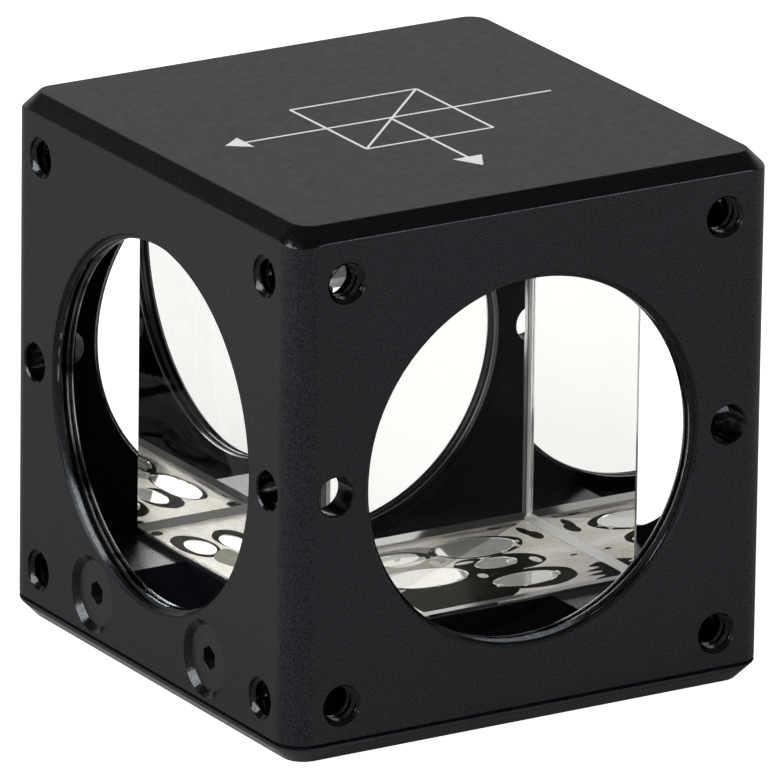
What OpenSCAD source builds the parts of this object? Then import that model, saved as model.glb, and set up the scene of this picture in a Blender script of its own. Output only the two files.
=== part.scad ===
// Beamsplitter cube for a 30 mm cage system.
// A hollow anodised housing with four threaded ports stands over a base whose platform carries
// a cemented pair of right-angle prisms. Millimetres, +Z up, origin at the centre of the
// mounting face. The front port looks along -Y, and the prisms' cemented face runs through the
// upright edges at -X -Y and +X +Y.

/* [Housing] */
// Width and depth of the housing across its flats
cube_w = 38.1; // [36.6:0.1:48]
// Overall height from the mounting face to the roof
cube_h = 38.1; // [37.6:0.1:48]
// Thickness of the four side walls
wall_t = 2.0; // [1.6:0.1:2.6]
// Thickness of the roof
roof_t = 2.0; // [1:0.1:4]
// Radius of the four upright outside edges
edge_r = 2.0; // [1.6:0.1:3]
// Width of the 45 degree chamfer round the roof
roof_chamfer = 1.05; // [0.3:0.05:1.5]
// Corner radius of the flat roof inside that chamfer
roof_corner_r = 1.4; // [1:0.1:2]
// Upright corner radius of the cavity
cavity_r = 1.5; // [0.5:0.1:2]
// Chamfer that breaks the edges at the seam between the housing and the base
seam_break = 0.1; // [0.05:0.01:0.2]

/* [Ports] */
// Major diameter of the port thread, 1.035 in
port_d = 26.29; // [18:0.01:27]
// How much wider than the thread the mouth's chamfer is
port_mouth_extra = 0.26; // [0.1:0.02:0.4]
// Depth of the threaded land, from the outside
port_land = 1.1; // [0.6:0.1:1.4]
// How much wider than the thread the relief bore behind it is
port_relief_extra = 0.82; // [0.3:0.02:0.9]

/* [Cage holes] */
// Spacing of the tapped cage holes, both ways
cage_pitch = 30; // [28:0.5:31]
// Major diameter of the cage thread, 0.112 in
cage_hole_d = 2.84; // [2:0.01:3]
// Spacing of the two plain holes at port height
access_pitch = 31.3; // [31:0.1:32]
// Diameter of those plain holes
access_hole_d = 2.7; // [1.5:0.1:2.8]
// Chamfer at the mouth of every hole in the sides
hole_chamfer = 0.1; // [0.05:0.05:0.15]

/* [Base] */
// Thickness of the plate that shows below the seam
plate_t = 1.45; // [1.3:0.05:2]
// Width of the 45 degree chamfer round the mounting face
plate_chamfer = 1.05; // [0.3:0.05:1.1]
// Corner radius of the flat mounting face inside that chamfer
plate_corner_r = 1.5; // [1:0.1:2]
// Gap between the base's lugs and the cavity walls
lug_clear = 0.04; // [0.02:0.01:0.2]
// How much wider than the port's thread the lens tube clearance across the platform is
tube_extra = 1.4; // [1:0.1:2]
// Edge of the raised seat beyond the prisms
seat_margin = 0.2; // [0:0.1:0.6]
// Space kept free round the axis of a cage screw that enters over the base
cage_screw_space = 1.8; // [1.6:0.1:2.4]

/* [Post hole] */
// Major diameter of the post thread under the base, 0.164 in
post_hole_d = 4.17; // [3:0.01:6]
// Full-diameter depth of the post thread
post_hole_l = 4.6; // [3:0.1:4.7]
// Chamfer at its mouth
post_hole_chamfer = 0.3; // [0:0.1:0.6]

/* [Optic] */
// Edge length of the cemented prism cube, 1 in
optic_w = 25.4; // [18:0.1:25.5]
// Height of the middle of the prism cube above the port axes
optic_rise = 0.2; // [0:0.05:0.5]
// Width of the bevel on every edge of the prisms
optic_bevel = 0.45; // [0.1:0.05:0.6]
// Thickness of the coated and cemented layer between the prisms
coating_t = 0.04; // [0.02:0.01:0.2]
// Thickness of the adhesive under the prisms
adhesive_t = 0.1; // [0.05:0.05:0.3]

/* [Screws] */
// Distance of each flat-head screw from the middle of its side
screw_offset = 7.6; // [7:0.1:8.5]
// Height of the screw axes above the seam
screw_rise = 3.1; // [3:0.05:3.4]
// Major diameter of the screws
screw_d = 2.5; // [2:0.1:2.6]
// Length from the flat of the head to the tip
screw_l = 5; // [4:0.5:6]
// Diameter of the flat of the head
head_d = 4.7; // [4:0.1:4.8]
// Depth of the head's flat below the side
head_recess = 0.4; // [0.2:0.05:0.45]
// Width across the flats of the hex socket
socket_af = 1.5; // [1.2:0.1:2]
// Depth of the hex socket
socket_depth = 0.9; // [0.5:0.1:1]
// Clearance between a screw's thread and its tapped hole, and under its head
screw_clear = 0.02; // [0.01:0.01:0.05]

/* [Hidden] */
$fn = 96;
cut = 0.5;                                      // how far a cutter runs past the face it opens
half_w = cube_w / 2;
port_z = cube_h / 2;
port_r = port_d / 2;
cavity_w = cube_w - 2 * wall_t;
optic_z = port_z + optic_rise;
seat_z = optic_z - optic_w / 2 - adhesive_t;    // top of the base's platform
seat_w = optic_w + 2 * seat_margin;
screw_z = plate_t + screw_rise;
screw_tip = head_recess + screw_l;              // all three measured inwards from the side
tap_end = screw_tip + 0.4;
tap_point = 0.6;
cage_screw_in = cage_pitch / 2 - cage_screw_space;
left = -90;                                     // turns that carry the front side to the others
right = 90;
sides = [0, 90, 180, 270];
black_anodise = [0.13, 0.13, 0.14];
black_steel = [0.08, 0.08, 0.08];
clear_glass = [0.82, 0.88, 0.9, 0.5];
layer_tint = [0.75, 0.6, 0.45, 0.7];
adhesive_tint = [0.8, 0.78, 0.72];

// Upright box with rounded upright edges, standing on z = 0
module round_box(w, h, r) {
    for (turn = [0, 90])
        rotate(turn)
            translate([-w / 2, r - w / 2, 0]) cube([w, w - 2 * r, h]);
    for (x = [r - w / 2, w / 2 - r], y = [r - w / 2, w / 2 - r])
        translate([x, y, 0]) cylinder(r = r, h = h);
}

// Pyramid of 45 degree flanks that narrows to a round-cornered square of width w at z = h.
// Cutting a box with it leaves a chamfer that runs round the corners as cones.
module flank(w, r, h) {
    straight = w - 2 * r;
    for (turn = [0, 90])
        rotate(turn)
            translate([0, straight / 2, 0])
                rotate([90, 0, 0])
                    linear_extrude(straight)
                        polygon([[-w / 2 - h, 0], [w / 2 + h, 0], [w / 2, h], [-w / 2, h]]);
    for (x = [-1, 1], y = [-1, 1])
        translate([x * straight / 2, y * straight / 2, 0])
            cylinder(r1 = r + h, r2 = r, h = h);
}

// Round-edged box with a chamfer of its own at the top and at the bottom
module bevelled_box(w, h, r, top, top_r, bottom, bottom_r) {
    intersection() {
        round_box(w, h, r);
        flank(w - 2 * top, top_r, h);
        translate([0, 0, h]) mirror([0, 0, 1]) flank(w - 2 * bottom, bottom_r, h);
    }
}

// Moves children to the front side at height z, with their +Z pointing into the housing
module into_front(x, z) {
    translate([x, -half_w, z]) rotate([-90, 0, 0]) children();
}

// Round hole with a chamfered mouth at z = 0
module hole(d, l, mouth) {
    translate([0, 0, -cut]) cylinder(d = d, h = l + cut);
    translate([0, 0, -mouth]) cylinder(d1 = d + 4 * mouth, d2 = d, h = 2 * mouth);
}

module port_cut() {
    into_front(0, port_z) {
        hole(port_d, port_land, port_mouth_extra / 2);
        translate([0, 0, port_land])
            cylinder(r = port_r + port_relief_extra / 2, h = wall_t - port_land + cut);
    }
}

module cage_cuts() {
    for (x = [-1, 1], z = [-1, 1])
        into_front(x * cage_pitch / 2, port_z + z * cage_pitch / 2)
            hole(cage_hole_d, wall_t + cut, hole_chamfer);
    for (x = [-1, 1])
        into_front(x * access_pitch / 2, port_z)
            hole(access_hole_d, wall_t + cut, hole_chamfer);
}

// Countersink and clearance hole for one flat-head screw
module screw_cut(x) {
    seat_r = head_d / 2 + head_recess;
    through_r = screw_d / 2 + 5 * screw_clear;
    into_front(x, screw_z) {
        translate([0, 0, -cut])
            cylinder(r1 = seat_r + cut, r2 = through_r, h = seat_r + cut - through_r);
        cylinder(r = through_r, h = wall_t + cut);
    }
}

module housing() {
    color(black_anodise)
        difference() {
            translate([0, 0, plate_t])
                bevelled_box(cube_w, cube_h - plate_t, edge_r, roof_chamfer, roof_corner_r,
                             seam_break, edge_r - seam_break);
            translate([0, 0, plate_t - cut])
                round_box(cavity_w, cube_h - plate_t - roof_t + cut, cavity_r);
            for (turn = sides)
                rotate(turn) {
                    port_cut();
                    cage_cuts();
                }
            for (turn = [left, right], x = [-1, 1])
                rotate(turn) screw_cut(x * screw_offset);
        }
}

// Tapped hole that one flat-head screw holds the base by, starting clear of the lug's end
module tapped_cut(x) {
    into_front(x, screw_z) {
        cylinder(d = screw_d, h = tap_end);
        translate([0, 0, tap_end])
            cylinder(d1 = screw_d, d2 = screw_d - 2 * tap_point, h = tap_point);
    }
}

// Platform that fills the cavity's foot. Lens tubes in the ports clear it where the tube
// cylinders cross its rim, and its corners are open for the ends of cage screws.
module platform() {
    tube_r = port_r + tube_extra / 2;
    difference() {
        translate([0, 0, plate_t - cut])
            round_box(cavity_w - 2 * lug_clear, seat_z - plate_t + cut, cavity_r);
        for (turn = sides)
            rotate(turn) {
                into_front(0, port_z)
                    cylinder(r = tube_r, h = half_w - seat_w / 2);
                translate([cage_screw_in, cage_screw_in, plate_t])
                    cube([half_w, half_w, cube_h]);
            }
    }
}

module base() {
    color(black_anodise)
        difference() {
            union() {
                bevelled_box(cube_w, plate_t, edge_r, seam_break, edge_r - seam_break,
                             plate_chamfer, plate_corner_r);
                platform();
            }
            for (turn = [left, right], x = [-1, 1])
                rotate(turn) tapped_cut(x * screw_offset);
            hole(post_hole_d, post_hole_l, post_hole_chamfer);
            translate([0, 0, post_hole_l])
                cylinder(d1 = post_hole_d, d2 = 0.4, h = post_hole_d / 4);
        }
}

// Square bar along Z with bevelled edges, centred on the origin
module bevelled_bar(w, bevel) {
    h = w / 2;
    b = h - bevel;
    linear_extrude(w, center = true)
        polygon([[-b, -h], [b, -h], [h, -b], [h, b], [b, h], [-b, h], [-h, b], [-h, -b]]);
}

// The cemented cube as one body: the three bars crossed leave a bevel on all twelve edges
module optic() {
    translate([0, 0, optic_z])
        intersection() {
            bevelled_bar(optic_w, optic_bevel);
            rotate([90, 0, 0]) bevelled_bar(optic_w, optic_bevel);
            rotate([0, 90, 0]) bevelled_bar(optic_w, optic_bevel);
        }
}

// Half of the cube on one side of the cemented face, short of it by half the layer
module prism(turn) {
    color(clear_glass)
        intersection() {
            optic();
            rotate(turn)
                translate([-optic_w, coating_t / 2, 0]) cube([2 * optic_w, optic_w, cube_h]);
        }
}

module prism_rear_left() { prism(45); }

module prism_front_right() { prism(225); }

// Beamsplitting coating and cement between the two prisms
module beamsplitter_layer() {
    color(layer_tint)
        intersection() {
            optic();
            rotate(45)
                translate([-optic_w, -coating_t / 2, 0]) cube([2 * optic_w, coating_t, cube_h]);
        }
}

// Adhesive between the platform and the flat underside of the prisms
module optic_adhesive() {
    w = optic_w - 2 * optic_bevel;
    color(adhesive_tint)
        translate([-w / 2, -w / 2, seat_z]) cube([w, w, adhesive_t]);
}

// Flat-head socket screw that holds one side of the housing to a lug of the base
module screw(turn, x) {
    shank_r = screw_d / 2 - screw_clear;
    head_r = head_d / 2 - screw_clear;
    tip = 0.4;
    color(black_steel)
        rotate(turn)
            into_front(x, screw_z)
                difference() {
                    union() {
                        translate([0, 0, head_recess])
                            cylinder(r1 = head_r, r2 = shank_r, h = head_r - shank_r);
                        translate([0, 0, head_recess])
                            cylinder(r = shank_r, h = screw_l - tip);
                        translate([0, 0, screw_tip - tip])
                            cylinder(r1 = shank_r, r2 = shank_r - tip, h = tip);
                    }
                    translate([0, 0, head_recess - cut])
                        rotate(90)
                            cylinder(d = socket_af / cos(30), h = socket_depth + cut, $fn = 6);
                }
}

module screw_left_front() { screw(left, screw_offset); }

module screw_left_rear() { screw(left, -screw_offset); }

module screw_right_front() { screw(right, -screw_offset); }

module screw_right_rear() { screw(right, screw_offset); }

housing();
base();
prism_rear_left();
prism_front_right();
beamsplitter_layer();
optic_adhesive();
screw_left_front();
screw_left_rear();
screw_right_front();
screw_right_rear();
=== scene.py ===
"""Looks of a cage-mounted beamsplitter cube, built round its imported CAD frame.

Meshes are made in millimetres in the row frame (+Z up, origin under the base) and scaled to
metres at the end. The housing, the base and the screws are rebuilt finely, with helical threads
and broken edges, and stand for their CAD nodes. The glass and its coating are copies of the CAD
nodes' meshes, with a material for each face. The adhesive is made as it is seen through the
glass. Nothing moves, so every piece rides on the root.
"""
from math import atan, cos, pi, radians, sin, sqrt, tan

import bmesh
import bpy
from mathutils import Matrix, Vector


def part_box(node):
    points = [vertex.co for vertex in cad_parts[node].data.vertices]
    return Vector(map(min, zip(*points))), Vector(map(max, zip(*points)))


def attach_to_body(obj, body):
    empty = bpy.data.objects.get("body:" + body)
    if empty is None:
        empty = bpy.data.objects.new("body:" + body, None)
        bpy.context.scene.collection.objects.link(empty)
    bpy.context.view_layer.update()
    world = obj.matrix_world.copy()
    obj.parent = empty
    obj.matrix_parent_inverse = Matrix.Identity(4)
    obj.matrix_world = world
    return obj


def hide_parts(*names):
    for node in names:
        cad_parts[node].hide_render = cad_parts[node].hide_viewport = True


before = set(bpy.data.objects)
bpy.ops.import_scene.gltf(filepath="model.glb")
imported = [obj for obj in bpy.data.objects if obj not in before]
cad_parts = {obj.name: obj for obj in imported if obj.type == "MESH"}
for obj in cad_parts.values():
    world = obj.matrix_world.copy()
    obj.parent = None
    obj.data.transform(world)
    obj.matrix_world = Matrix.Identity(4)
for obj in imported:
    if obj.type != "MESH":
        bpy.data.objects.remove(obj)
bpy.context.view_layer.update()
MM = 0.001
scene = bpy.context.scene

# ---------------------------------------------------------------- sizes, in mm, as in the CAD
housing_low, housing_high = (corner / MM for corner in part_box("housing"))
HALF = housing_high.x               # half the cube's width
TOP = housing_high.z
SEAM = housing_low.z
SEAT_Z = (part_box("base")[1] / MM).z     # top of the platform
PORT_Z = TOP / 2
WALL = 2.0
ROOF = 2.0
EDGE_R = 2.0                        # of the upright edges
CAVITY_R = 1.5
ROOF_CHAMFER, ROOF_R = 1.05, 1.4
FOOT_CHAMFER, FOOT_R = 1.05, 1.5
SEAM_BREAK = 0.1
CAGE = 15.0                         # half spacing of the cage's tapped holes
ACCESS = 15.65                      # half spacing of the plain holes at port height
SCREW_X = 7.6                       # half spacing and height of the screws in a side
SCREW_Z = 4.55
OPTIC_HALF = 12.7
ADHESIVE = 0.1
GLASS_Z = SEAT_Z + ADHESIVE         # underside of the glass
TURNS = {"front": 0, "right": 90, "rear": 180, "left": -90}
QUARTERS = ((1, 1), (-1, 1), (-1, -1), (1, -1))

# ---------------------------------------------------------------- mesh helpers
MERGE_DISTANCE = 1e-5
BEVEL_ANGLE, BEVEL_SEGMENTS = radians(25), 2
SHARP_ANGLE = radians(30)
THREAD_ANGLE = radians(30)          # between a thread's flank and a plane across its axis
PITCH = 0.635                       # of the ports' and the cage holes' threads
BLOCK_STEPS, BOX_STEPS = 20, 8      # points round a corner


def linked(name, data):
    """A new object in the scene."""
    obj = bpy.data.objects.new(name, data)
    scene.collection.objects.link(obj)
    return obj


def new_object(name, verts, faces):
    mesh = bpy.data.meshes.new(name)
    mesh.from_pydata([tuple(v) for v in verts], [], faces)
    mesh.validate()
    return linked(name, mesh)


def joined(name, parts):
    """One object from several, which are deleted."""
    bm = bmesh.new()
    for part in parts:
        bm.from_mesh(part.data)
        bpy.data.objects.remove(part)
    mesh = bpy.data.meshes.new(name)
    bm.to_mesh(mesh)
    bm.free()
    return linked(name, mesh)


def outward(obj):
    """Merges double points and turns every face outward."""
    bm = bmesh.new()
    bm.from_mesh(obj.data)
    bmesh.ops.remove_doubles(bm, verts=bm.verts, dist=MERGE_DISTANCE)
    bmesh.ops.recalc_face_normals(bm, faces=bm.faces)
    bm.to_mesh(obj.data)
    bm.free()
    return obj


def apply_modifiers(obj):
    graph = bpy.context.evaluated_depsgraph_get()
    mesh = bpy.data.meshes.new_from_object(obj.evaluated_get(graph))
    obj.modifiers.clear()
    obj.data = mesh
    return obj


def boolean(obj, cutter, operation="DIFFERENCE"):
    mod = obj.modifiers.new("cut", "BOOLEAN")
    mod.operation = operation
    mod.solver = "EXACT"
    mod.object = cutter
    apply_modifiers(obj)
    bpy.data.objects.remove(cutter)
    return obj


def round_edges(obj, width):
    mod = obj.modifiers.new("round", "BEVEL")
    mod.width = width
    mod.segments = BEVEL_SEGMENTS
    mod.limit_method = "ANGLE"
    mod.angle_limit = BEVEL_ANGLE
    mod.miter_outer = "MITER_ARC"
    return apply_modifiers(obj)


def placed(obj, turn, x, z):
    """Moves a cutter whose +Z points into the housing onto a side."""
    into = (Matrix.Rotation(radians(turn), 4, "Z") @ Matrix.Translation((x, -HALF, z))
            @ Matrix.Rotation(radians(-90), 4, "X"))
    obj.data.transform(into)
    return obj


def revolved(name, profile, segments=64):
    """Closed solid of revolution about Z from (radius, z) points that run from low to high z."""
    verts, faces = [], []
    for radius, z in profile:
        for i in range(segments):
            a = 2 * pi * i / segments
            verts.append((radius * cos(a), radius * sin(a), z))
    for j in range(len(profile) - 1):
        for i in range(segments):
            n = (i + 1) % segments
            faces.append((j * segments + i, j * segments + n,
                          (j + 1) * segments + n, (j + 1) * segments + i))
    last = (len(profile) - 1) * segments
    faces.append(tuple(reversed(range(segments))))
    faces.append(tuple(range(last, last + segments)))
    return outward(new_object(name, verts, faces))


class Thread:
    """An internal thread that opens into a 45 degree mouth at z = 0."""

    def __init__(self, major, minor, mouth, segments):
        self.major = major
        self.minor = minor
        self.mouth = mouth
        self.segments = segments
        self.depth = major - minor
        self.flank = self.depth * tan(THREAD_ANGLE)
        self.crest = (PITCH - 2 * self.flank) / 2
        self.root_starts = self.crest + self.flank
        self.root_ends = 2 * self.crest + self.flank
        stops = [0, self.crest, self.root_starts, self.root_ends, PITCH]
        self.steps = [stops[k] + (stops[k + 1] - stops[k]) * s / 2 for k in range(4) for s in range(2)]

    def radius(self, phase, z):
        if phase < self.crest:
            r = self.minor
        elif phase < self.root_starts:
            r = self.minor + self.depth * (phase - self.crest) / self.flank
        elif phase < self.root_ends:
            r = self.major
        else:
            r = self.major - self.depth * (phase - self.root_ends) / self.flank
        return max(r, min(self.mouth, self.mouth - z))


def thread_cutter(name, thread, start, end):
    """Solid whose side is a thread.

    Its rows of points follow the helix, so crests and roots stay sharp.
    """
    segments, rows = thread.segments, len(thread.steps)
    verts, ids, faces = [], {}, []

    def vertex(i, j):
        lap, i = divmod(i, segments)
        j += lap * rows
        z = (j // rows) * PITCH + thread.steps[j % rows] + PITCH * i / segments
        key = (i, "low") if z <= start else (i, "high") if z >= end else (i, j)
        if key not in ids:
            z = min(max(z, start), end)
            a = 2 * pi * i / segments
            r = thread.radius((z - PITCH * i / segments) % PITCH, z)
            ids[key] = len(verts)
            verts.append((r * cos(a), r * sin(a), z))
        return ids[key]

    first_row = -(int(-start / PITCH) + 2) * rows
    end_row = (int(end / PITCH) + 2) * rows
    for i in range(segments):
        for j in range(first_row, end_row):
            corners = [vertex(i, j), vertex(i + 1, j), vertex(i + 1, j + 1), vertex(i, j + 1)]
            face = list(dict.fromkeys(corners))
            if len(face) > 2:
                faces.append(face)
    faces.append([ids[i, "low"] for i in reversed(range(segments))])
    faces.append([ids[i, "high"] for i in range(segments)])
    return outward(new_object(name, verts, faces))


def corner_section(a, meet, cone_at, cone_r, height, seam):
    """Four points down a block's side, at an angle about the cone in its corner."""
    u = Vector((cos(a), sin(a), 0))
    centre = Vector((cone_at, cone_at, 0))
    round_at = HALF - EDGE_R
    back = Vector((round_at - cone_at, round_at - cone_at, 0))
    if a < meet or a > pi / 2 - meet:
        reach = (HALF - cone_at) / max(u.x, u.y)
        normal = Vector((1, 0, 0)) if u.x > u.y else Vector((0, 1, 0))
    else:
        along = back.dot(u)
        reach = along + sqrt(along ** 2 - back.length_squared + EDGE_R ** 2)
        normal = (u * reach - back).normalized()
    side = centre + u * reach
    return [centre + u * cone_r + Vector((0, 0, height)),
            side + Vector((0, 0, height - (reach - cone_r))),
            side + Vector((0, 0, seam)),
            side - normal * seam]


def chamfered_block(name, height, chamfer, cone_r, seam):
    """Rounded square block from z = 0 up, with its wide chamfer at the top.

    The chamfer turns each corner as a cone on the top face's own corner centre, so its lower
    edge dips where it meets the rounder upright edge. The bottom edge is only broken.
    """
    cone_at = HALF - chamfer - cone_r
    meet = atan((HALF - EDGE_R - cone_at) / (HALF - cone_at))
    angles = [meet + (pi / 2 - 2 * meet) * k / BLOCK_STEPS for k in range(BLOCK_STEPS + 1)]
    angles = [0] + angles + [pi / 2]
    verts = []
    for quarter in range(4):
        turn = Matrix.Rotation(quarter * pi / 2, 3, "Z")
        for a in angles:
            verts += [turn @ p for p in corner_section(a, meet, cone_at, cone_r, height, seam)]
    count = 4 * len(angles)
    faces = []
    for i in range(count):
        n = (i + 1) % count
        faces += [(4 * i + k, 4 * n + k, 4 * n + k + 1, 4 * i + k + 1) for k in range(3)]
    faces.append([4 * i for i in range(count)])
    faces.append([4 * i + 3 for i in reversed(range(count))])
    return outward(new_object(name, verts, faces))


def round_box(name, half, z0, z1, r):
    """Square block with rounded upright edges."""
    ring = []
    for quarter, (sx, sy) in enumerate(QUARTERS):
        for k in range(BOX_STEPS + 1):
            a = (quarter + k / BOX_STEPS) * pi / 2
            ring.append((sx * (half - r) + r * cos(a), sy * (half - r) + r * sin(a)))
    n = len(ring)
    verts = [(x, y, z0) for x, y in ring] + [(x, y, z1) for x, y in ring]
    faces = [(i, (i + 1) % n, n + (i + 1) % n, n + i) for i in range(n)]
    faces += [tuple(reversed(range(n))), tuple(range(n, 2 * n))]
    return outward(new_object(name, verts, faces))


def plates(name, outlines, z_low, z_high, step):
    """Flat plates, each topped a hair above the last, so that crossings stay clean."""
    verts, faces = [], []
    for k, outline in enumerate(outlines):
        first, n = len(verts), len(outline)
        z_top = z_high + k * step
        verts += [(x, y, z_low) for x, y in outline] + [(x, y, z_top) for x, y in outline]
        faces += [tuple(first + i for i in reversed(range(n))), tuple(first + n + i for i in range(n))]
        faces += [(first + i, first + (i + 1) % n, first + n + (i + 1) % n, first + n + i)
                  for i in range(n)]
    return outward(new_object(name, verts, faces))


# ---------------------------------------------------------------- finishing a piece
def attach(obj, replaced=None):
    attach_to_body(obj, "root")
    if replaced:
        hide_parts(replaced)
    return obj


def dress(obj, materials, chosen):
    """Gives a mesh its materials, and each face the chosen one."""
    obj.data.materials.clear()
    for made in materials:
        obj.data.materials.append(made)
    for polygon, index in zip(obj.data.polygons, chosen):
        polygon.material_index = index


def shade(obj, weighted):
    """Smooth shading that stops at sharp edges."""
    for polygon in obj.data.polygons:
        polygon.use_smooth = True
    bm = bmesh.new()
    bm.from_mesh(obj.data)
    for edge in bm.edges:
        if len(edge.link_faces) == 2:
            edge.smooth = edge.calc_face_angle(0) < SHARP_ANGLE
    bm.to_mesh(obj.data)
    bm.free()
    if weighted:
        mod = obj.modifiers.new("normals", "WEIGHTED_NORMAL")
        mod.keep_sharp = True
        apply_modifiers(obj)


def finish_piece(obj, material, replaced=None, weighted=True, choose=None):
    """Scales to metres, shades, gives the materials and rides on the root.

    choose(centre, normal) picks one of several materials for a face, in mm.
    """
    materials = material if isinstance(material, list) else [material]
    chosen = [choose(p.center, p.normal) if choose else 0 for p in obj.data.polygons]
    obj.data.transform(Matrix.Scale(MM, 4))
    shade(obj, weighted)
    dress(obj, materials, chosen)
    return attach(obj, replaced)


# ---------------------------------------------------------------- material helpers
WIDE_SWING = (0.3, 0.7)             # ranges of a noise's value
SWING = (0.35, 0.65)
BUMP_DEPTH = 0.00002                # in metres, as the noise scales below are per metre
MIX_A, MIX_B, MIX_RESULT = 6, 7, 2  # the colour sockets of a Mix node


def opaque(colour):
    return colour + (1,)


class Nodes:
    """A short way to write a node tree."""

    def __init__(self, tree):
        self.tree = tree
        tree.nodes.clear()

    def add(self, kind, inputs=None, **settings):
        node = self.tree.nodes.new(kind)
        for key, value in settings.items():
            setattr(node, key, value)
        for key, value in (inputs or {}).items():
            socket = node.inputs[key]
            if isinstance(value, bpy.types.NodeSocket):
                self.tree.links.new(value, socket)
            else:
                socket.default_value = value
        return node

    def shader(self, kind, **inputs):
        """A shader's output, with its inputs named by words joined by underscores."""
        named = {key.replace("_", " "): value for key, value in inputs.items()}
        return self.add(kind, named).outputs[0]

    def place(self):
        return self.add("ShaderNodeTexCoord").outputs["Object"]

    def math(self, operation, a, b=0.0, clamp=False):
        return self.add("ShaderNodeMath", {0: a, 1: b}, operation=operation,
                        use_clamp=clamp).outputs[0]

    def between(self, value, low, high, to_low=0.0, to_high=1.0):
        return self.add("ShaderNodeMapRange", {"Value": value, "From Min": low, "From Max": high,
                                               "To Min": to_low, "To Max": to_high}).outputs[0]

    def noise(self, vector, scale, detail):
        return self.add("ShaderNodeTexNoise", {"Vector": vector, "Scale": scale,
                                               "Detail": detail}).outputs["Fac"]

    def added(self, a, part_a, b, part_b):
        return self.math("ADD", self.math("MULTIPLY", a, part_a), self.math("MULTIPLY", b, part_b))

    def tint(self, value, swing, dark, pale):
        """A colour that runs from dark to pale as the value goes through its swing."""
        inputs = {"Factor": self.between(value, *swing), MIX_A: opaque(dark), MIX_B: opaque(pale)}
        return self.add("ShaderNodeMix", inputs, data_type="RGBA").outputs[MIX_RESULT]

    def bump(self, strength, height):
        return self.add("ShaderNodeBump", {"Strength": strength, "Distance": BUMP_DEPTH,
                                           "Height": height}).outputs[0]

    def shaders(self, factor, a, b):
        return self.add("ShaderNodeMixShader", {0: factor, 1: a, 2: b}).outputs[0]

    def out(self, shader, kind="ShaderNodeOutputMaterial"):
        self.add(kind, {"Surface": shader})

    def out_clear(self, shader):
        """Ends a glass shader that light for matt surfaces passes straight through."""
        path = self.add("ShaderNodeLightPath").outputs
        passing = self.math("ADD", path["Is Shadow Ray"], path["Is Diffuse Ray"], clamp=True)
        self.out(self.shaders(passing, shader, self.shader("ShaderNodeBsdfTransparent")))


def material(name):
    made = bpy.data.materials.new(name)
    made.use_nodes = True
    return made, Nodes(made.node_tree)


# ---------------------------------------------------------------- kinds of surface
ETCHED_GRAIN, CLOUD_GRAIN, DRIFT_GRAIN = 9500, 1700, 60
DRIFT_DARK, DRIFT_PALE = 0.82, 1.22     # a colour's drift over the surface
ETCHED_PART, CLOUD_PART = 0.6, 0.4
GLOSS_SWING, GLOSS_CHANGE = (0.38, 0.62), 0.06
SPARKLE_LOW, SPARKLE_HIGH = 0.4, 1.6
BLUE_SHEEN = (0.82, 0.89, 0.97)
GLASS_IOR = 1.517
GLASS_TINT = (0.985, 0.982, 0.965)
FAINT_REFLECTION = (0.12, 0.12, 0.12)
WALL_GRAIN, GROUND_GRAIN, INK_GRAIN = 2500, 7000, 9000
WALL_BUMP, GROUND_BUMP, INK_BUMP = 0.3, 0.15, 0.4
GROUND_ROUGH = 0.12
GLUE_GRAIN, GLUE_BLOTCH, GLUE_PART = 5000, 420, 0.5
GLUE_SHINE = (1, 0.98, 0.94)
MIRROR_TINT, THROUGH_TINT = (1, 1, 1), (1, 1, 0.98)
MIRROR_PART = 0.5
INK_THIN, INK_FULL = (0.74, 0.74, 0.74), (0.97, 0.97, 0.96)
INK_SWING = (0.3, 0.6)
INK_ROUGH, INK_SMOOTH = 0.7, 0.45


def anodise(name, colour, roughness, grain=0.35, level=0.5, metal=0.0, sheen=BLUE_SHEEN):
    """Anodised or bare metal: a fine etched grain, a softer cloudiness and a slight colour drift.

    grain is the bump's strength, and level the middle of the specular level.
    """
    made, n = material(name)
    place = n.place()
    fine = n.noise(place, ETCHED_GRAIN, 1.0)
    soft = n.noise(place, CLOUD_GRAIN, 3.0)
    drift = n.noise(place, DRIFT_GRAIN, 2.0)
    dark = tuple(c * DRIFT_DARK for c in colour)
    pale = tuple(c * DRIFT_PALE for c in colour)
    height = n.added(fine, ETCHED_PART, soft, CLOUD_PART)
    change = n.between(height, *GLOSS_SWING, -GLOSS_CHANGE, GLOSS_CHANGE)
    sparkle = n.between(fine, *WIDE_SWING, level * SPARKLE_LOW, level * SPARKLE_HIGH)
    n.out(n.shader("ShaderNodeBsdfPrincipled", Base_Color=n.tint(drift, SWING, dark, pale),
                   Roughness=n.math("ADD", change, roughness), Specular_IOR_Level=sparkle,
                   Metallic=metal, Specular_Tint=opaque(sheen), Normal=n.bump(grain, height)))
    return made


def matt_black(name, dark, pale):
    """Painted shade: a matt black without gloss, darker than the housing's anodise, for the inner walls
    and the seam, so they stay dark beside the bright ports.
    """
    made, n = material(name)
    grain = n.noise(n.place(), WALL_GRAIN, 3.0)
    n.out(n.shader("ShaderNodeBsdfDiffuse", Color=n.tint(grain, WIDE_SWING, dark, pale),
                   Normal=n.bump(WALL_BUMP, grain)))
    return made


def clear_glass():
    """Polished crown glass."""
    made, n = material("glass_polished")
    n.out_clear(n.shader("ShaderNodeBsdfPrincipled", Base_Color=opaque(GLASS_TINT), Roughness=0.0,
                         IOR=GLASS_IOR, Transmission_Weight=1.0,
                         Specular_Tint=opaque(FAINT_REFLECTION)))
    return made


def ground_glass(name, dark, pale, through):
    """Ground bevels, which scatter light and look pale grey."""
    made, n = material(name)
    grain = n.noise(n.place(), GROUND_GRAIN, 2.0)
    n.out(n.shader("ShaderNodeBsdfPrincipled", Base_Color=n.tint(grain, WIDE_SWING, dark, pale),
                   Roughness=GROUND_ROUGH, IOR=GLASS_IOR, Transmission_Weight=through,
                   Normal=n.bump(GROUND_BUMP, grain)))
    return made


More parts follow.
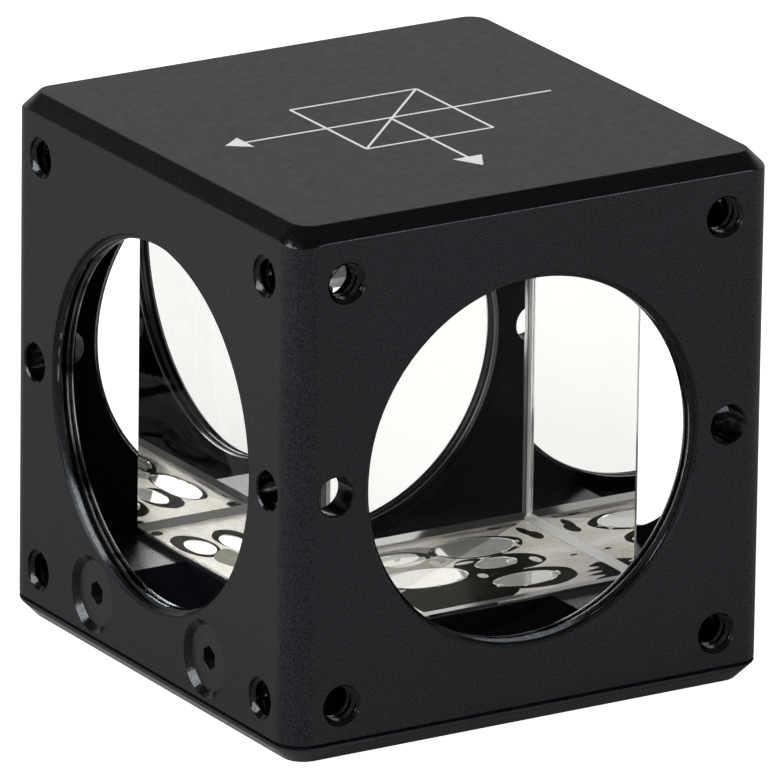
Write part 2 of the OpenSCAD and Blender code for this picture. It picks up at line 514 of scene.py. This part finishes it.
def cemented_glass():
    """The cemented faces, which light crosses unbent."""
    made, n = material("glass_cemented")
    n.out(n.shader("ShaderNodeBsdfTransparent"))
    return made


def adhesive_look(name, dark, pale, roughness, mirror):
    """Adhesive seen through the glass: a matt grain under the shine of the glass's underside."""
    made, n = material(name)
    place = n.place()
    grain = n.noise(place, GLUE_GRAIN, 3.0)
    blotch = n.noise(place, GLUE_BLOTCH, 3.0)
    colour = n.tint(n.added(grain, GLUE_PART, blotch, GLUE_PART), SWING, dark, pale)
    matt = n.shader("ShaderNodeBsdfDiffuse", Color=colour)
    shine = n.shader("ShaderNodeBsdfAnisotropic", Color=opaque(GLUE_SHINE), Roughness=roughness)
    n.out(n.shaders(mirror, matt, shine))
    return made


def coating():
    """Half-mirror: it reflects about as much as it lets through."""
    made, n = material("beamsplitter_coating")
    mirror = n.shader("ShaderNodeBsdfAnisotropic", Color=opaque(MIRROR_TINT), Roughness=0.0)
    through = n.shader("ShaderNodeBsdfTransparent", Color=opaque(THROUGH_TINT))
    n.out_clear(n.shaders(MIRROR_PART, through, mirror))
    return made


def printed_ink():
    """White ink over the blasted surface, thin in places."""
    made, n = material("marking_white")
    grain = n.noise(n.place(), INK_GRAIN, 3.0)
    n.out(n.shader("ShaderNodeBsdfPrincipled",
                   Base_Color=n.tint(grain, INK_SWING, INK_THIN, INK_FULL),
                   Roughness=n.between(grain, *WIDE_SWING, INK_ROUGH, INK_SMOOTH),
                   Normal=n.bump(INK_BUMP, grain)))
    return made


# ---------------------------------------------------------------- materials
BLASTED_BLACK = (0.0026, 0.0030, 0.0038)

CUT_MAT = anodise("anodise_on_cut_faces", (0.0012, 0.0014, 0.0017), roughness=0.16, grain=0.06,
                  level=0.34)
# Painted highlights: bright metal in place of the black anodise, for the inner edge of a port's land
# and the crests of its thread.
EDGE_HIGHLIGHT_MAT = anodise("painted_highlight_on_edges", (0.42, 0.43, 0.46), roughness=0.14, grain=0.04, metal=1.0)
CREST_HIGHLIGHT_MAT = anodise("painted_highlight_on_crests", (0.14, 0.146, 0.155), roughness=0.14, grain=0.04, metal=1.0)
LIP_MAT = anodise("anodise_on_lips", BLASTED_BLACK, roughness=0.44, level=0.3)
# Painted shade: a darker copy of the anodise, matt and without gloss, for faces inside the housing and
# on the seam.
SHADED_INNER_MAT = matt_black("anodise_inside_painted_shade", (0.0025, 0.003, 0.004), (0.005, 0.006, 0.0075))
# Painted glints: bright metal for small spots in the left port.
GLINT_MAT = anodise("painted_glint_metal", (0.36, 0.37, 0.39), roughness=0.35, grain=0.4, metal=1.0)
CEMENT_MAT = anodise("cement_edge", (0.02, 0.017, 0.014), roughness=0.4, grain=0.2, level=0.2)
SEAT_MAT = anodise("anodise_seat", (0.006, 0.007, 0.009), roughness=0.15, grain=0.6,
                   sheen=(0.78, 0.9, 1.0))
HOUSING_MAT = anodise("housing_anodise", BLASTED_BLACK, roughness=0.34, grain=0.5, level=0.44)
BASE_MAT = anodise("base_anodise", (0.0030, 0.0034, 0.0040), roughness=0.32, level=0.66)
SCREW_MAT = anodise("screw_black_oxide", (0.008, 0.008, 0.008), roughness=0.3, grain=0.15)
PRINT_MAT = printed_ink()
FILM_MAT = adhesive_look("adhesive_film", (0.50, 0.47, 0.42), (0.84, 0.80, 0.73), roughness=0.2,
                         mirror=0.22)

# ---------------------------------------------------------------- housing
PORT_MAJOR, PORT_MINOR = 13.145, 12.87
PORT_THREAD = Thread(PORT_MAJOR, PORT_MINOR, mouth=13.275, segments=256)
CAGE_THREAD = Thread(1.42, 1.14, mouth=1.5, segments=40)
PORT_LAND = 1.1                     # how deep a port's thread runs
PORT_BREAK = 1.52                   # depth of the edge behind it, where the relief bore starts
PORT_LAND_R = PORT_MINOR + 0.012    # of the plain land between them
PORT_EDGE = 0.13                    # the inner edge of that land, which gets a painted highlight
PORT_LIP, PORT_LIP_WIDTH = 0.16, 0.5    # depth and width of the matt lip round a port's mouth
PORT_RELIEF = 13.555
ROUND_SEGMENTS = 192                # of large round cutters
HOUSING_ROUND = 0.06
ABOVE = -0.4                        # cutters start outside a side
THROUGH = WALL + 0.45               # and end inside the cavity
OVERLAP = 0.1                       # of a port's thread with the land behind it
CLEAR = 1                           # how far other cutters stand out of what they cut

# Profiles are (radius, depth below a side).
RELIEF_PROFILE = [(PORT_LAND_R, PORT_LAND), (PORT_LAND_R, PORT_BREAK - PORT_EDGE),
                  (PORT_LAND_R, PORT_BREAK - 0.04), (PORT_MAJOR, PORT_BREAK),
                  (PORT_RELIEF, PORT_BREAK), (PORT_RELIEF, WALL + 0.5)]
ACCESS_PROFILE = [(1.5, ABOVE), (1.5, -0.05), (1.35, 0.1), (1.35, THROUGH)]
COUNTERSINK_PROFILE = [(3.15, ABOVE), (1.35, 1.4), (1.35, THROUGH)]

HOUSING_LOOKS = [HOUSING_MAT, CUT_MAT, SHADED_INNER_MAT, EDGE_HIGHLIGHT_MAT, LIP_MAT, CREST_HIGHLIGHT_MAT]
BLASTED, CUT, INSIDE, EDGE, LIP, CREST = range(6)
NEAR = 0.05                         # a face this near a plane lies on it
SEAM_NEAR = 0.12                    # the seam's broken edges get the inside's painted shade
BREAK_INNER, BREAK_OUTER = 0.02, 0.04   # reach of the annulus at a port's break
UPRIGHT = 0.1                       # a normal that rises less than this is level
LEANING = 0.2                       # a normal this far along a port's axis is not a crest's


def side_cutters():
    """Two groups of cutters, because those in one group mustn't overlap."""
    first, second = [], []
    for turn in TURNS.values():
        port = thread_cutter("port", PORT_THREAD, ABOVE, PORT_LAND + OVERLAP)
        first.append(placed(port, turn, 0, PORT_Z))
        relief = revolved("relief", RELIEF_PROFILE, ROUND_SEGMENTS)
        second.append(placed(relief, turn, 0, PORT_Z))
        for x in (-CAGE, CAGE):
            for z in (-CAGE, CAGE):
                hole = thread_cutter("cage", CAGE_THREAD, ABOVE, THROUGH)
                first.append(placed(hole, turn, x, PORT_Z + z))
        group = first if turn in (TURNS["front"], TURNS["rear"]) else second
        for x in (-ACCESS, ACCESS):
            group.append(placed(revolved("access", ACCESS_PROFILE), turn, x, PORT_Z))
    for side in ("left", "right"):
        for x in (-SCREW_X, SCREW_X):
            hole = revolved("screw", COUNTERSINK_PROFILE)
            first.append(placed(hole, TURNS[side], x, SCREW_Z))
    return joined("first", first), joined("second", second)


def housing_face(centre, normal):
    """Which of HOUSING_LOOKS a face has: CUT on the chamfer, in the holes and on the flanks of a port's
    thread, EDGE and CREST, bright metal that paints highlights, on the land behind that thread and on
    the thread's crests.
    """
    out = max(abs(centre.x), abs(centre.y))
    aside = min(abs(centre.x), abs(centre.y))
    along = normal.x if abs(centre.x) > abs(centre.y) else normal.y
    from_port = sqrt(aside ** 2 + (centre.z - PORT_Z) ** 2)
    break_at = HALF - PORT_BREAK
    # The annulus at a port's break gets the crests' painted highlight.
    if from_port < PORT_MAJOR + OVERLAP and break_at - BREAK_INNER < out < break_at + BREAK_OUTER:
        return CREST
    # Faces in the cavity and on the seam's broken edges get the painted shade.
    if out < break_at + BREAK_INNER and centre.z < TOP - ROOF + NEAR:
        return INSIDE
    if centre.z < SEAM + SEAM_NEAR:
        return INSIDE
    if centre.z > TOP - NEAR or (out > HALF - NEAR and abs(normal.z) < UPRIGHT):
        return BLASTED
    if aside > HALF - EDGE_R and abs(normal.z) < UPRIGHT:
        return BLASTED
    if abs(from_port - PORT_MAJOR) < PORT_LIP_WIDTH and out > HALF - PORT_LIP:
        return LIP
    if abs(along) > LEANING or from_port > PORT_MINOR + NEAR:
        return CUT
    # The land's inner edge and the thread's crests get painted highlights.
    if out < break_at + PORT_EDGE:
        return EDGE
    return CUT if out < HALF - PORT_LAND else CREST


def make_housing():
    body = chamfered_block("housing_body", TOP - SEAM, ROOF_CHAMFER, ROOF_R, SEAM_BREAK)
    body.data.transform(Matrix.Translation((0, 0, SEAM)))
    round_edges(body, HOUSING_ROUND)
    boolean(body, round_box("cavity", HALF - WALL, SEAM - CLEAR, TOP - ROOF, CAVITY_R))
    for cutters in side_cutters():
        boolean(body, cutters)
    return finish_piece(body, HOUSING_LOOKS, "housing", choose=housing_face)


# ---------------------------------------------------------------- base
BASE_ROUND, PLATFORM_ROUND = 0.05, 0.08
PLATFORM_GAP = 0.04                 # to the cavity's walls
PLATFORM_ROOT = 0.4                 # how far it reaches into the plate
TUBE_PROFILE = [(13.845, -0.1), (13.845, HALF - OPTIC_HALF)]    # room for a port tube
CORNER_AT, CORNER_HALF, CORNER_R = 16.2, 3, 0.2                 # reliefs of the platform's corners
POST_PROFILE = [(2.5, -0.2), (2.385, 0), (2.085, 0.3), (2.085, 4.6), (0.2, 5.64)]

BASE_LOOKS = [BASE_MAT, CUT_MAT, SHADED_INNER_MAT, SEAT_MAT]
BASE_OUTSIDE, BASE_CUT, BASE_INSIDE, BASE_SEAT = range(4)


def base_face(centre, normal):
    """Which of BASE_LOOKS a face has: BASE_CUT on the chamfer and in the post's hole."""
    if centre.z > SEAT_Z - NEAR:
        return BASE_SEAT
    # The platform's sides and the plate's top inside the housing get the painted shade.
    if centre.z > SEAM - SEAM_NEAR:
        return BASE_INSIDE
    return BASE_CUT if abs(normal.z) > UPRIGHT and centre.z > NEAR else BASE_OUTSIDE


def make_platform():
    """The block that carries the glass, cut by the ports' tubes down to four lugs."""
    half = HALF - WALL - PLATFORM_GAP
    platform = round_box("platform", half, SEAM - PLATFORM_ROOT, SEAT_Z, CAVITY_R)
    for turn in TURNS.values():
        tube = revolved("tube", TUBE_PROFILE, ROUND_SEGMENTS)
        boolean(platform, placed(tube, turn, 0, PORT_Z))
    for sx, sy in QUARTERS:
        corner = round_box("corner", CORNER_HALF, SEAM, SEAT_Z + CLEAR, CORNER_R)
        corner.data.transform(Matrix.Translation((sx * CORNER_AT, sy * CORNER_AT, 0)))
        boolean(platform, corner)
    return round_edges(platform, PLATFORM_ROUND)


def make_base():
    plate = chamfered_block("base_body", SEAM, FOOT_CHAMFER, FOOT_R, SEAM_BREAK)
    plate.data.transform(Matrix.Translation((0, 0, SEAM)) @ Matrix.Rotation(pi, 4, "X"))
    outward(plate)
    round_edges(plate, BASE_ROUND)
    boolean(plate, make_platform(), "UNION")
    boolean(plate, revolved("post", POST_PROFILE))
    return finish_piece(plate, BASE_LOOKS, "base", choose=base_face)


# ---------------------------------------------------------------- painted glints in the left port
# Start angle up from the front, length in degrees, half the width in mm.
PORT_GLINTS = ((166.6, 2.4, 0.035), (171.5, 3.6, 0.018), (177.3, 5.6, 0.045))
GLINT_STEPS = 6
GLINT_TIP = 0.004
GLINT_RADII = (PORT_MINOR - 0.008, PORT_MINOR + 0.09)


def make_port_glints():
    """Painted glints: small bright metal spots on the edge of the first thread."""
    verts, faces = [], []
    for start, length, half in PORT_GLINTS:
        first = len(verts)
        for i in range(GLINT_STEPS + 1):
            angle = start + length * i / GLINT_STEPS
            a = radians(angle)
            depth = PITCH * (1 - angle / 360)
            swell = GLINT_TIP + half * sin(pi * i / GLINT_STEPS)
            for r in GLINT_RADII:
                for along in (depth - swell, depth + swell):
                    verts.append((along - HALF, -r * cos(a), PORT_Z + r * sin(a)))
        for i in range(GLINT_STEPS):
            k = first + 4 * i
            faces += [(k, k + 1, k + 5, k + 4), (k + 1, k + 3, k + 7, k + 5),
                      (k + 3, k + 2, k + 6, k + 7), (k + 2, k, k + 4, k + 6)]
        last = first + 4 * GLINT_STEPS
        faces += [(first, first + 2, first + 3, first + 1), (last, last + 1, last + 3, last + 2)]
    return finish_piece(outward(new_object("port_painted_glints", verts, faces)), GLINT_MAT)


# ---------------------------------------------------------------- beam diagram on the roof
PRINT_SINK, PRINT_LIFT, PRINT_STEP = 0.02, 0.0026, 0.0006
LINE, THIN_LINE = 0.225, 0.175
SQUARE = [(-5.05, -5.05), (5.05, -5.05), (5.05, 5.05), (-5.05, 5.05)]
BEAM_THROUGH = ((13.0, 0.25), (-11.6, 0.2))
BEAM_ASIDE = ((0, 0.2), (0, -10.2))
ARROW_THROUGH = [(-13.1, 0.2), (-11.5, 1.35), (-11.5, -0.95)]
ARROW_ASIDE = [(0.0, -11.95), (-1.15, -9.9), (1.15, -9.9)]


def strip(a, b, width):
    a, b = Vector(a), Vector(b)
    side = Vector(((b - a).y, -(b - a).x)).normalized() * width / 2
    return [a + side, b + side, b - side, a - side]


def make_diagram():
    outlines = [strip(SQUARE[i], SQUARE[(i + 1) % 4], LINE) for i in range(4)]
    outlines.append(strip(SQUARE[0], SQUARE[2], THIN_LINE))
    outlines += [strip(*BEAM_THROUGH, LINE), strip(*BEAM_ASIDE, LINE), ARROW_THROUGH, ARROW_ASIDE]
    print_plates = plates("beam_diagram", outlines, TOP - PRINT_SINK, TOP + PRINT_LIFT, PRINT_STEP)
    return finish_piece(print_plates, PRINT_MAT, weighted=False)


# ---------------------------------------------------------------- glass and coating
DIAGONAL = Vector((1, -1, 0)).normalized()
FACING, SLOPING = 0.99, 0.6         # a normal's part along the diagonal, or down
AXIAL = 0.95                        # and along an axis
# Dark and pale colour of ground bevels, and how much light goes through them. The same ground glass has
# a grey copy with painted shade for the left prism and a bright copy with painted light for the right.
SHADED_GROUND = (0.42, 0.41, 0.39), (0.66, 0.65, 0.62), 0.8
LIT_GROUND = (0.90, 0.89, 0.87), (0.99, 0.98, 0.96), 0.5
COATING_THICK = 0.8                 # scales of the CAD layer
CEMENT_THICK, CEMENT_WIDE = 2.4, 0.9992


def restated(node, name, materials, choose, thick=1.0, wide=1.0, replaces=True):
    """A copy of a CAD node's shape with a material for each face, picked by its normal.

    thick scales it across the diagonal, and wide in the other directions.
    """
    obj = linked(name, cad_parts[node].data.copy())
    obj.data.name = name
    middle = Vector((0, 0, (GLASS_Z + OPTIC_HALF) * MM))
    scaled = Matrix.Scale(wide, 4) @ Matrix.Scale(thick / wide, 4, DIAGONAL)
    obj.data.transform(Matrix.Translation(middle) @ scaled @ Matrix.Translation(-middle))
    dress(obj, materials, [choose(p.normal) for p in obj.data.polygons])
    for polygon in obj.data.polygons:
        polygon.use_smooth = False
    return attach(obj, node if replaces else None)


def prism_face(side):
    """0 on polished faces, 1 on bevels, 2 on the cemented face, 3 on the bevel under it."""
    def choose(normal):
        if normal.dot(side) > FACING:
            return 2
        if normal.dot(side) > SLOPING and normal.z < -SLOPING:
            return 3
        return 0 if max(abs(c) for c in normal) > AXIAL else 1
    return choose


def make_optic():
    polished, cemented = clear_glass(), cemented_glass()
    # The two prisms' bevels are the same ground glass: the grey copy paints shade and the bright copy
    # paints light.
    grey = ground_glass("bevel_glass_painted_shade", *SHADED_GROUND)
    bright = ground_glass("bevel_glass_painted_light", *LIT_GROUND)
    restated("prism_rear_left", "prism_left",
             [polished, grey, cemented, cemented], prism_face(DIAGONAL))
    restated("prism_front_right", "prism_right",
             [polished, bright, cemented, bright], prism_face(-DIAGONAL))
    restated("beamsplitter_layer", "coating", [coating(), cemented],
             lambda normal: 0 if normal.dot(DIAGONAL) > FACING else 1, thick=COATING_THICK)
    restated("beamsplitter_layer", "cement_line", [cemented, CEMENT_MAT],
             lambda normal: 0 if abs(normal.dot(DIAGONAL)) > FACING else 1,
             thick=CEMENT_THICK, wide=CEMENT_WIDE, replaces=False)


# ---------------------------------------------------------------- adhesive under the glass
GLUE_LOOKS = {                      # dark and pale colour, roughness and how much it mirrors
    "adhesive_wetted": ((0.008, 0.008, 0.007), (0.022, 0.020, 0.017), 0.12, 0.02),
    "adhesive_smear": ((0.13, 0.13, 0.09), (0.2, 0.2, 0.15), 0.12, 0.06),
    # Voids: a pale colour paints the reflection that the glass's underside shows over an air gap,
    # beside their real mirror part.
    "adhesive_void_painted_reflection": ((0.58, 0.58, 0.56), (0.78, 0.78, 0.75), 0.02, 0.6),
    # Beads and the droplets' lips: a near-white colour paints their highlights, beside their real
    # mirror part.
    "adhesive_bead_painted_highlight": ((0.85, 0.84, 0.78), (0.97, 0.95, 0.9), 0.08, 0.6),
}
FILM_HALF = 12.15
RAGGED_POINTS, RAGGED = 40, 0.05
RAGGED_WAVES = ((11, 2, 1.0), (29, 1, 0.6))                     # waves a side, shift, size
DROP_POINTS = 72
DROP_WAVES = ((2, 1, 0.025), (3, 2.3, 0.018), (7, 1, 0.01))     # waves round, shift, size
CURVE_STEPS = 5
FILM_SINK, FILM_STEP = -0.09, 0.0004
FILM_TOP, WETTED_TOP, ISLAND_TOP, SMEAR_TOP, VOID_TOP = 0.006, 0.008, 0.0125, 0.0135, 0.015
MENISCUS_R, MENISCUS_Z, MENISCUS_SIDES = 0.035, 0.02, 6
BEAD_SIDES, BEAD_SINK, BEAD_RIM = 20, -0.05, 0.02
BEAD_DOME = ((0.85, 0.3), (0.5, 0.5), (0.1, 0.55))              # radius and height, per radius
VOIDS = {                           # droplets the adhesive never reached: x, y, radius x, radius y
    "seam_far": (6.15, 6.05, 3.0, 3.0),
    "seam_near": (-0.15, -0.5, 3.1, 3.15),
    "left_far": (-0.4, 6.9, 2.2, 1.85),
    "left_near": (-7.0, 7.4, 2.45, 1.6),
    "right_far": (5.7, 0.2, 1.6, 1.7),
    "right_near": (5.8, -6.45, 2.45, 2.15),
    "corner": (-11.0, 9.2, 0.5, 0.35),
}
WETTED = {                          # dark rims where it wets the glass
    "seam_far": (6.45, 5.95, 3.4, 3.35),
    "seam_near": (-0.15, -0.5, 3.35, 3.4),
    "left_far": (0.5, 7.6, 3.3, 2.45),
    "left_near": (-7.3, 7.8, 3.5, 2.55),
    "right_far": (6.75, -0.35, 2.6, 2.8),
    "right_near": (6.5, -6.65, 3.3, 3.25),
    "right_edge": (11.2, 6.6, 0.5, 1.5),
    "left_corner": (-10.0, 11.4, 1.2, 0.45),
    "far_edge": (10.1, 11.2, 1.2, 0.6),
    "far_streak": (10.9, 8.4, 0.35, 1.6),
    "far_dot": (11.3, -1.8, 0.3, 0.25),
}
PUDDLE = [(-3.2, -3.4), (-3.9, -7), (-4.0, -10.9), (-3.6, -12.2), (1.2, -12.2), (2.6, -11.4),
          (4.2, -9.4), (5, -6), (6.6, -3.4), (7.2, -2.4), (5.6, -1), (5.2, 1.6), (5.0, 2.8),
          (3.4, 2.7), (2, 0), (0, -2)]
FINGERS = [(12.2, -5.7), (11.3, -5.9), (10.9, -6.4), (11.5, -7.1), (10.2, -7.8), (11.3, -8.5),
           (9.9, -9.2), (11.0, -9.9), (9.9, -10.7), (10.7, -11.3), (12.2, -10.0)]
SMEAR = [(-6.9, 5.6), (-8.1, 4.6), (-7.9, 3.7), (-6.7, 2.7), (-4.3, 3.8), (-2.7, 5.2), (-3.6, 6.4)]
ISLANDS = {                         # matt spots left in the puddle
    "upper": (3.75, 1.95, 0.75, 0.4),
    "lower": (3.5, -3.0, 0.35, 0.8),
    "rim": (8.5, -1.0, 0.35, 1.1),
}
BEADS = {                           # bubbles on the droplets' rims: x, y, radius
    "a": (6.8, 0.0, 0.3), "b": (8.05, -6.7, 0.42), "c": (3.45, -7.15, 0.28), "d": (9.25, 5.6, 0.26),
    "e": (8.8, 4.5, 0.26), "f": (7.4, 3.1, 0.24), "g": (2.1, -2.55, 0.26), "h": (1.5, -3.15, 0.22),
    "i": (8.95, 4.1, 0.18), "j": (-0.3, -3.6, 0.2), "k": (5.0, -8.6, 0.16),
}


def wobbly(x, y, radius_x, radius_y, seed):
    """Outline of a droplet: an ellipse with a slight, repeatable wobble."""
    outline = []
    for i in range(DROP_POINTS):
        a = 2 * pi * i / DROP_POINTS
        r = 1
        for waves, shift, size in DROP_WAVES:
            r += size * sin(waves * a + shift * seed)
        outline.append((x + radius_x * r * cos(a), y + radius_y * r * sin(a)))
    return outline


def droplets(spots, seed=0):
    return [wobbly(*spot, seed + k) for k, spot in enumerate(spots.values())]


def ragged_square():
    """Outline of the film: a square whose edges wander a little, as squeezed-out adhesive does."""
    outline = []
    for quarter in range(4):
        turn = Matrix.Rotation(quarter * pi / 2, 2)
        for i in range(RAGGED_POINTS):
            t = i / RAGGED_POINTS
            ripple = sum(size * sin(waves * t + shift * quarter) for waves, shift, size in RAGGED_WAVES)
            wander = RAGGED * sin(pi * t) * ripple
            outline.append(tuple(turn @ Vector((FILM_HALF * (2 * t - 1), -FILM_HALF - wander))))
    return outline


def smoothed(points):
    """Closed Catmull-Rom curve through the points."""
    outline = []
    n = len(points)
    for i in range(n):
        p0, p1, p2, p3 = (Vector(points[(i + k) % n]) for k in (-1, 0, 1, 2))
        for k in range(CURVE_STEPS):
            t = k / CURVE_STEPS
            outline.append(tuple(0.5 * (2 * p1 + (p2 - p0) * t + (2 * p0 - 5 * p1 + 4 * p2 - p3) * t * t
                                        + (3 * p1 - p0 - 3 * p2 + p3) * t ** 3)))
    return outline


def film(name, outlines, top, made, replaced=None):
    """Flat patches of adhesive, which reach a little into the glass."""
    obj = plates(name, outlines, GLASS_Z + FILM_SINK, GLASS_Z + top, FILM_STEP)
    return finish_piece(obj, made, replaced, weighted=False)


def menisci(outlines):
    """A thin raised lip along the edge of each droplet."""
    verts, faces = [], []
    sides = MENISCUS_SIDES
    for outline in outlines:
        first, n = len(verts), len(outline)
        centre = sum((Vector(p) for p in outline), Vector((0, 0))) / n
        for point in outline:
            out = (Vector(point) - centre).normalized()
            for k in range(sides):
                a = 2 * pi * k / sides
                at = Vector(point) + out * MENISCUS_R * cos(a)
                verts.append((at.x, at.y, GLASS_Z + MENISCUS_Z + MENISCUS_R * sin(a)))
        for i in range(n):
            here, there = first + i * sides, first + (i + 1) % n * sides
            for k in range(sides):
                up = (k + 1) % sides
                faces.append((here + k, there + k, there + up, here + up))
    return outward(new_object("adhesive_lips", verts, faces))


def beads():
    domes = []
    for x, y, r in BEADS.values():
        profile = [(r, BEAD_SINK), (r, BEAD_RIM)] + [(w * r, h * r) for w, h in BEAD_DOME]
        dome = revolved("bead", profile, BEAD_SIDES)
        dome.data.transform(Matrix.Translation((x, y, GLASS_Z)))
        domes.append(dome)
    return joined("adhesive_beads", domes)


def make_adhesive():
    dark, olive, void, bead = (adhesive_look(name, *look) for name, look in GLUE_LOOKS.items())
    puddles = [smoothed(PUDDLE), smoothed(FINGERS)]
    drops = droplets(VOIDS, 3)
    return [
        film("adhesive_film", [ragged_square()], FILM_TOP, FILM_MAT, "optic_adhesive"),
        film("adhesive_wetted", puddles + droplets(WETTED), WETTED_TOP, dark),
        film("adhesive_smear", [smoothed(SMEAR)], SMEAR_TOP, olive),
        film("adhesive_voids", drops, VOID_TOP, void),
        film("adhesive_islands", droplets(ISLANDS, 1), ISLAND_TOP, FILM_MAT),
        # Beads and lips take the bead material, whose near-white colour paints highlights.
        finish_piece(beads(), bead),
        finish_piece(menisci(drops), bead),
    ]


# ---------------------------------------------------------------- screws
SCREW_SEGMENTS, HEXAGON = 72, 6
SCREWS = {"screw_left_front": ("left", SCREW_X), "screw_left_rear": ("left", -SCREW_X),
          "screw_right_front": ("right", -SCREW_X), "screw_right_rear": ("right", SCREW_X)}
SCREW_PROFILE = [(2.27, 0.4), (2.33, 0.43), (2.35, 0.5), (2.31, 0.56), (1.24, 1.6), (1.24, 5.3),
                 (1.1, 5.4)]
SOCKET_PROFILE = [(0.9, 0.2), (0.9, 0.4), (0.866, 0.44), (0.866, 1.3), (0.3, 1.55)]


def make_screws():
    """Flat-head screws: a sunk disc with a broken rim, a hexagon socket and the shank."""
    for node, (side, x) in SCREWS.items():
        body = revolved("screw", SCREW_PROFILE, SCREW_SEGMENTS)
        socket = revolved("socket", SOCKET_PROFILE, HEXAGON)
        socket.data.transform(Matrix.Rotation(pi / 2, 4, "Z"))
        boolean(body, socket)
        body.name = node + "_fine"
        placed(body, TURNS[side], x, SCREW_Z)
        finish_piece(body, SCREW_MAT, node)


# ---------------------------------------------------------------- floor, light and camera
WHITE = (1, 1, 1, 1)
FLOOR_HALF, FLOOR_Z = 3, -0.00002   # in metres
FLOOR_GREY = (0.5, 0.5, 0.5, 1)
FLOOR_GLOW, FLOOR_GLOW_IN_GLASS = 0.95, 0.66
SKY_HEIGHTS = (0.33, 0.5)           # the sky's light falls between these heights of a direction
SKY_LOW, SKY_HIGH = 0.57, 0.12
BACKDROP = 1.1
BACKDROP_WAY, BACKDROP_EDGE = (0.7, 0.7, 0), (0.3, 0.55)    # where the glass shows it
LAMP_DISTANCE = 0.6                 # in metres, from the middle of the ports
KEY_SIZE, FILL_SIZE = 0.35, 0.3
KEYS = {"key_left": ((-0.85, 0.0, 0.55), 3.7), "key_right": ((0.5, -0.75, 0.4), 1.5)}
FILLS = {"fill_right": ((1, 0, 0.45), 0.4), "fill_rear": ((0, 1, 0.45), 0.5),
         "fill_left": ((-1, 0, 0.45), 0.85), "fill_front": ((0, -1, 0.45), 0.5)}
AZIMUTH, ELEVATION, ROLL = radians(-31.565), radians(18.531), radians(0.79)
FOCAL_PX, IMAGE_PX, SENSOR = 13902.2, 780, 36
CAMERA_BACK, CAMERA_ASIDE, CAMERA_ABOVE = 957.02, 0.145, -0.504     # in mm
NEAREST, FARTHEST = 0.05, 50        # in metres


def make_floor():
    h = FLOOR_HALF
    floor = new_object("floor", [(-h, -h, 0), (h, -h, 0), (h, h, 0), (-h, h, 0)], [(0, 1, 2, 3)])
    floor.location.z = FLOOR_Z
    made, n = material("studio_floor")
    diffuse = n.shader("ShaderNodeBsdfDiffuse", Color=FLOOR_GREY)
    path = n.add("ShaderNodeLightPath").outputs
    strength = n.between(path["Is Transmission Ray"], 0, 1, FLOOR_GLOW, FLOOR_GLOW_IN_GLASS)
    glow = n.shader("ShaderNodeEmission", Color=WHITE, Strength=strength)
    lit = n.add("ShaderNodeAddShader", {0: diffuse, 1: glow}).outputs[0]
    seen = n.math("ADD", path["Is Camera Ray"], path["Is Transmission Ray"], clamp=True)
    n.out(n.shaders(seen, diffuse, lit))
    floor.data.materials.append(made)


def make_world():
    """A soft sky that lights the object, and the white backdrop that camera and glass see."""
    world = bpy.data.worlds.new("studio")
    scene.world = world
    world.use_nodes = True
    n = Nodes(world.node_tree)
    way = n.add("ShaderNodeTexCoord").outputs["Generated"]
    up = n.add("ShaderNodeSeparateXYZ", {0: way}).outputs[2]
    strength = n.between(up, *SKY_HEIGHTS, SKY_LOW, SKY_HIGH)
    sky = n.shader("ShaderNodeBackground", Color=WHITE, Strength=strength)
    white = n.shader("ShaderNodeBackground", Color=WHITE, Strength=BACKDROP)
    path = n.add("ShaderNodeLightPath").outputs
    behind = n.add("ShaderNodeVectorMath", {0: way, 1: BACKDROP_WAY}, operation="DOT_PRODUCT")
    in_glass = n.math("MULTIPLY", n.between(behind.outputs["Value"], *BACKDROP_EDGE),
                      path["Is Transmission Ray"])
    seen = n.math("ADD", path["Is Camera Ray"], in_glass, clamp=True)
    n.out(n.shaders(seen, sky, white), "ShaderNodeOutputWorld")


def softbox(name, direction, size, power, only=None):
    """A square lamp that points at the ports. One that lights only some pieces isn't mirrored."""
    lamp = bpy.data.lights.new(name, "AREA")
    lamp.shape = "RECTANGLE"
    lamp.size = lamp.size_y = size
    lamp.energy = power
    obj = linked(name, lamp)
    way = Vector(direction).normalized()
    obj.location = way * LAMP_DISTANCE + Vector((0, 0, PORT_Z * MM))
    obj.rotation_euler = way.to_track_quat("Z", "Y").to_euler()
    if only:
        obj.light_linking.receiver_collection = only
        obj.visible_glossy = False
        obj.visible_transmission = False


def make_camera():
    back = Vector((sin(AZIMUTH) * cos(ELEVATION), -cos(AZIMUTH) * cos(ELEVATION), sin(ELEVATION)))
    right = Vector((cos(AZIMUTH), sin(AZIMUTH), 0))
    up = back.cross(right)
    right, up = cos(ROLL) * right + sin(ROLL) * up, cos(ROLL) * up - sin(ROLL) * right
    data = bpy.data.cameras.new("camera")
    data.sensor_width = SENSOR
    data.lens = FOCAL_PX / IMAGE_PX * SENSOR
    data.clip_start = NEAREST
    data.clip_end = FARTHEST
    camera = linked("camera", data)
    aim = Vector((0, 0, PORT_Z)) + right * CAMERA_ASIDE + up * CAMERA_ABOVE
    turned = Matrix((right, up, back)).transposed().to_4x4()
    camera.matrix_world = Matrix.Translation((aim + back * CAMERA_BACK) * MM) @ turned
    scene.camera = camera


make_camera()
make_floor()
make_world()
for lamp_name, (way, power) in KEYS.items():
    softbox(lamp_name, way, KEY_SIZE, power)
scene.view_settings.view_transform = "Standard"
make_housing()
make_base()
make_port_glints()
make_diagram()
make_optic()
lit_through_ports = bpy.data.collections.new("lit_through_ports")
for piece in make_adhesive():
    lit_through_ports.objects.link(piece)
for lamp_name, (way, power) in FILLS.items():
    softbox(lamp_name, way, FILL_SIZE, power, lit_through_ports)
make_screws()
